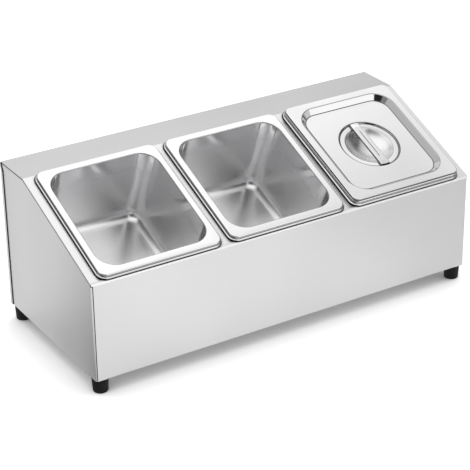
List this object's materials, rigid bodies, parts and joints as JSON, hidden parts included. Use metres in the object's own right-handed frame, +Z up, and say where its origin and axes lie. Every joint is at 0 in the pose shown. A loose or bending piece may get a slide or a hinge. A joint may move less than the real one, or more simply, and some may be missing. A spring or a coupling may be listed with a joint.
{
  "type": "countertop ingredient container",
  "caption": "Sloped stainless countertop holder with lift-out food pans in a row, a lift-off lid with a bar handle, a flat shelf behind and rubber feet.",
  "frame": {"origin": "centre of the base, on the counter, under the middle of the housing's outline", "axes": "+Z up, +X to the user's right along the row of pans, +Y away from the user, who stands at -Y"},
  "size_m": [0.53, 0.225, 0.2174],
  "materials": {
    "housing_steel": "fine satin stainless sheet",
    "polished_steel": "bright polished, deep drawn stainless",
    "fastener_steel": "plain stainless fasteners",
    "rubber": "matt black moulded rubber"
  },
  "bodies": {
    "housing": {"top_cover": "housing_steel", "side_panel_left": "housing_steel", "side_panel_right": "housing_steel", "back_panel": "housing_steel", "base_tray": "housing_steel", "foot_front_left": "rubber", "foot_front_right": "rubber", "foot_rear_left": "rubber", "foot_rear_right": "rubber", "foot_screws": "fastener_steel", "foot_washers": "fastener_steel", "foot_nuts": "fastener_steel"},
    "left_pan": {"pan_left": "polished_steel"},
    "middle_pan": {"pan_middle": "polished_steel"},
    "right_pan": {"pan_right": "polished_steel"},
    "lid_body": {"lid": "polished_steel", "lid_handle": "polished_steel"}
  },
  "joints": [
    {"name": "pan_left_lift", "type": "slide", "parent": "housing", "child": "left_pan", "axis": [0, -0.3781, 0.9258], "range_m": [0, 0.12]},
    {"name": "pan_middle_lift", "type": "slide", "parent": "housing", "child": "middle_pan", "axis": [0, -0.3781, 0.9258], "range_m": [0, 0.12]},
    {"name": "pan_right_lift", "type": "slide", "parent": "housing", "child": "right_pan", "axis": [0, -0.3781, 0.9258], "range_m": [0, 0.12]},
    {"name": "lid_lift", "type": "slide", "parent": "right_pan", "child": "lid_body", "axis": [0, -0.3781, 0.9258], "range_m": [0, 0.06]}
  ]
}
